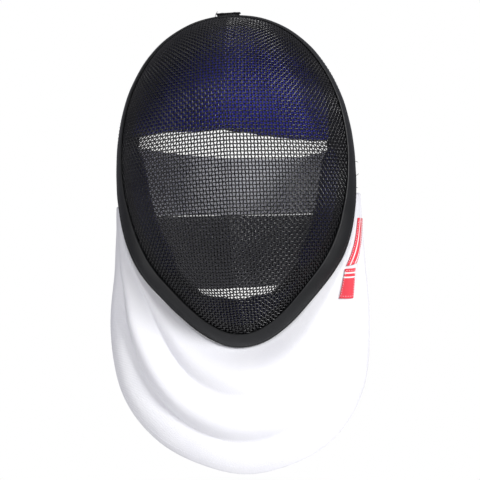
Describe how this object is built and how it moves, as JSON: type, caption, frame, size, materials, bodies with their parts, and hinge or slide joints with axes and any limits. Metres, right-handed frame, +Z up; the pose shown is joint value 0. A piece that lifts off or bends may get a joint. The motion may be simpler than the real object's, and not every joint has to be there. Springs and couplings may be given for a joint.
{
  "type": "fencing mask",
  "caption": "Fencing mask with a black woven wire cage, wide edge trim, hanging white throat bib with crescent folds, inner padding, elastic straps and a sprung tongue.",
  "frame": {"origin": "where the wearer's forehead rests: the inner face of the forehead padding, in the middle", "axes": "+X to the viewer's right when seen from the front, -Y the way the wearer looks, +Z up along the mask's upright as worn"},
  "size_m": [0.2306, 0.238, 0.4047],
  "materials": {
    "wire": "black powder coat, satin",
    "trim": "black coated fabric, matte",
    "white_cloth": "white woven cloth, matte",
    "blue_cloth": "royal blue brushed cloth, matte",
    "navy_cloth": "navy brushed cloth, matte",
    "grey_elastic": "pale grey ribbed elastic",
    "dark_elastic": "dark ribbed elastic",
    "spring_steel": "black coated spring steel",
    "label_red": "red woven label"
  },
  "bodies": {
    "root": {"mesh_cage": "wire", "edge_trim": "trim", "bib": "white_cloth", "forehead_pad": "blue_cloth", "cheek_pad_left": "navy_cloth", "cheek_pad_right": "navy_cloth", "chin_pad": "navy_cloth", "back_strap": "grey_elastic", "neck_strap": "dark_elastic", "tongue_spring": "spring_steel", "tongue_bracket": "spring_steel", "tongue_pad": "dark_elastic", "label_upper": "label_red", "label_lower": "label_red"}
  },
  "joints": []
}
